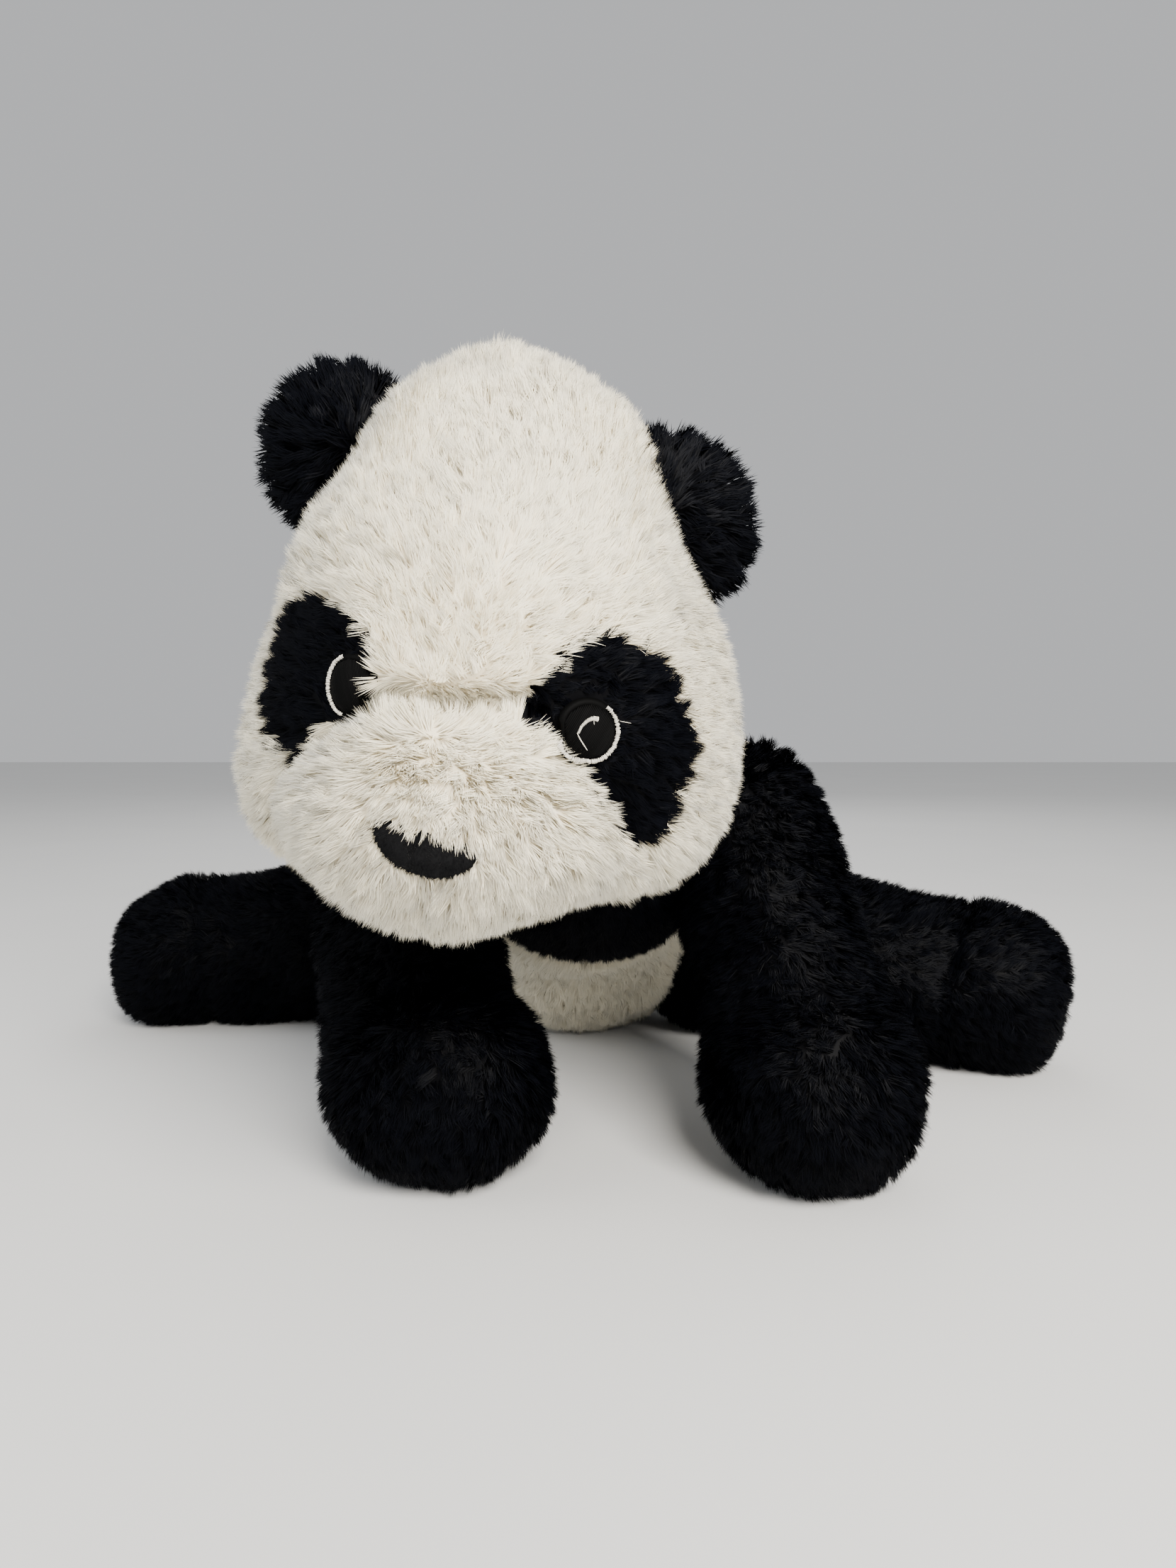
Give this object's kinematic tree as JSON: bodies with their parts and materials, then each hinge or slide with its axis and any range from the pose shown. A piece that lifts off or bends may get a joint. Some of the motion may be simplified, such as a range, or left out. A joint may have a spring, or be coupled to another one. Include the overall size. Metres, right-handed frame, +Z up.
{
  "type": "plush panda",
  "caption": "Soft plush panda on all fours, long black and white pile, head, ears, legs and tail on soft seams.",
  "frame": {"origin": "middle of the belly's flat rest patch, on the floor", "axes": "+Z up, -Y the way the panda faces, +X the panda's left"},
  "size_m": [0.3699, 0.3249, 0.2188],
  "materials": {
    "white_pile": "long silky pile",
    "black_pile": "long silky pile",
    "black_thread": "satin stitch",
    "pale_thread": "satin stitch",
    "nose_plush": "short pile",
    "filling": "loose polyester fibre"
  },
  "bodies": {
    "torso": {"torso_stuffing": "filling", "chest_band_left": "black_pile", "chest_band_right": "black_pile", "back_panel_left": "white_pile", "back_panel_right": "white_pile", "belly_panel": "white_pile"},
    "neck": {"neck_stuffing": "filling"},
    "head": {"head_stuffing": "filling", "forehead_panel": "white_pile", "chin_panel": "white_pile", "muzzle_panel": "white_pile", "cheek_panel_left": "white_pile", "cheek_panel_right": "white_pile", "head_back_left": "white_pile", "head_back_right": "white_pile", "eye_patch_left": "black_pile", "eye_patch_right": "black_pile", "eye_left": "black_thread", "eye_right": "black_thread", "eye_outline_left": "pale_thread", "eye_outline_right": "pale_thread", "nose": "nose_plush", "neck_gusset": "black_pile"},
    "ear_left": {"ear_front_left": "black_pile", "ear_back_left": "black_pile"},
    "ear_right": {"ear_front_right": "black_pile", "ear_back_right": "black_pile"},
    "front_leg_left": {"front_leg_cover_left": "black_pile", "front_paw_cover_left": "black_pile", "front_leg_stuffing_left": "filling"},
    "front_leg_right": {"front_leg_cover_right": "black_pile", "front_paw_cover_right": "black_pile", "front_leg_stuffing_right": "filling"},
    "hind_leg_left": {"hind_leg_cover_left": "black_pile", "hind_foot_cover_left": "black_pile", "hind_sole_left": "black_pile", "hind_leg_stuffing_left": "filling"},
    "hind_leg_right": {"hind_leg_cover_right": "black_pile", "hind_foot_cover_right": "black_pile", "hind_sole_right": "black_pile", "hind_leg_stuffing_right": "filling"},
    "tail": {"tail_cover": "white_pile", "tail_stuffing": "filling"}
  },
  "joints": [
    {"name": "head_turn", "type": "hinge", "parent": "torso", "child": "neck", "pos_m": [0.006, -0.117, 0.097], "axis": [0, 0, 1], "range_deg": [-8, 25]},
    {"name": "head_nod", "type": "hinge", "parent": "neck", "child": "head", "pos_m": [0.006, -0.117, 0.097], "axis": [1, 0, 0], "range_deg": [-18, 8]},
    {"name": "ear_left_fold", "type": "hinge", "parent": "head", "child": "ear_left", "pos_m": [0.02423, -0.19454, 0.17639], "axis": [0.5, 0.1185, -0.8579], "range_deg": [-25, 25], "stiffness_Nm_per_rad": 0.02},
    {"name": "ear_right_fold", "type": "hinge", "parent": "head", "child": "ear_right", "pos_m": [-0.05487, -0.1893, 0.1935], "axis": [0.4926, -0.2379, 0.8371], "range_deg": [-25, 25], "stiffness_Nm_per_rad": 0.02},
    {"name": "shoulder_left_swing", "type": "hinge", "parent": "torso", "child": "front_leg_left", "pos_m": [0.056, -0.128, 0.094], "axis": [1, 0, 0], "range_deg": [-20, 10]},
    {"name": "shoulder_right_swing", "type": "hinge", "parent": "torso", "child": "front_leg_right", "pos_m": [-0.052, -0.128, 0.086], "axis": [1, 0, 0], "range_deg": [-12, 10]},
    {"name": "hip_left_splay", "type": "hinge", "parent": "torso", "child": "hind_leg_left", "pos_m": [0.058, -0.022, 0.0385], "axis": [0, 0, 1], "range_deg": [-8, 20]},
    {"name": "hip_right_splay", "type": "hinge", "parent": "torso", "child": "hind_leg_right", "pos_m": [-0.058, 0.003, 0.0385], "axis": [0, 0, 1], "range_deg": [-20, 20]},
    {"name": "tail_wag", "type": "hinge", "parent": "torso", "child": "tail", "pos_m": [0, 0.04995, 0.0707], "axis": [0, 0, 1], "range_deg": [-25, 25], "stiffness_Nm_per_rad": 0.01}
  ]
}
